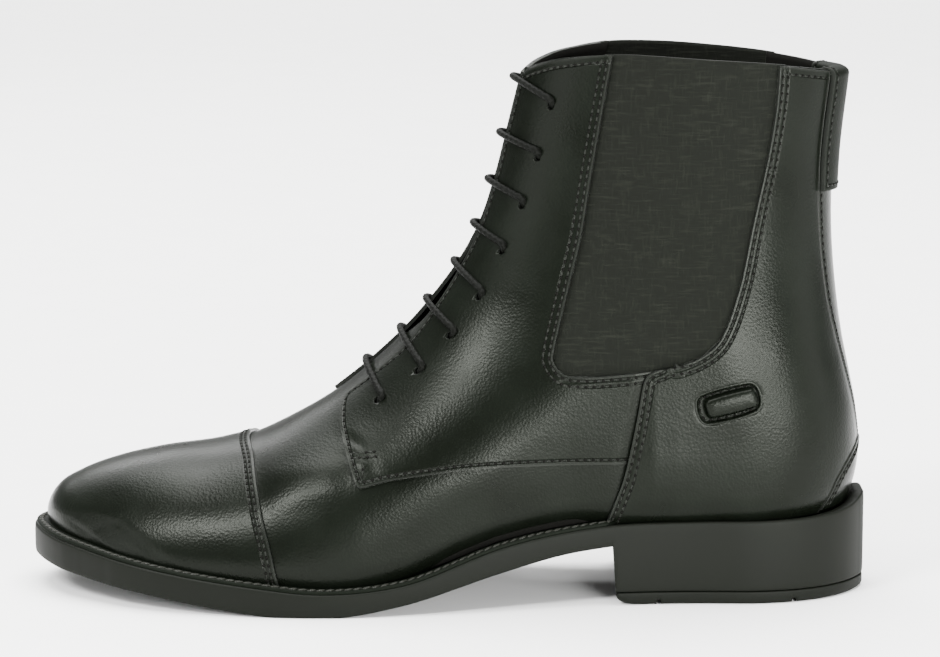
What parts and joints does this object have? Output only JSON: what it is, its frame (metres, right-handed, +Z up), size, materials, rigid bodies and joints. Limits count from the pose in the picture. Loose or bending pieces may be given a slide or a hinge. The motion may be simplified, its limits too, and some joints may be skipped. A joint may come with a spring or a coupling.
{
  "type": "ankle boot",
  "caption": "Left lace-up ankle boot of smooth leather with elastic side panels, a toe cap, a back pull tab and a moulded low-heeled sole; open at the collar for the foot.",
  "frame": {"origin": "middle of the boot's outline on the floor it stands on", "axes": "-X to the toe, +X to the heel, -Y to the outer side, +Y to the inner side, +Z up"},
  "size_m": [0.2895, 0.1037, 0.187],
  "materials": {
    "leather": "satin black smooth leather with a fine grain",
    "lining": "matt dark lining leather",
    "elastic": "matt black woven elastic with fine cross ribs",
    "rubber": "satin black moulded rubber",
    "cord": "matt black round woven lace"
  },
  "bodies": {
    "root": {"outsole": "rubber", "heel_tip": "rubber", "welt": "leather", "insole": "lining", "upper": "leather", "toe_cap": "leather", "facing_lateral": "leather", "facing_medial": "leather", "quarter_lateral": "leather", "quarter_medial": "leather", "gusset_lateral": "elastic", "gusset_medial": "elastic", "back_strip": "leather", "heel_patch": "leather", "pull_tab": "leather", "spur_rest_lateral": "leather", "spur_rest_medial": "leather", "tongue": "leather", "lace": "cord"}
  },
  "joints": []
}
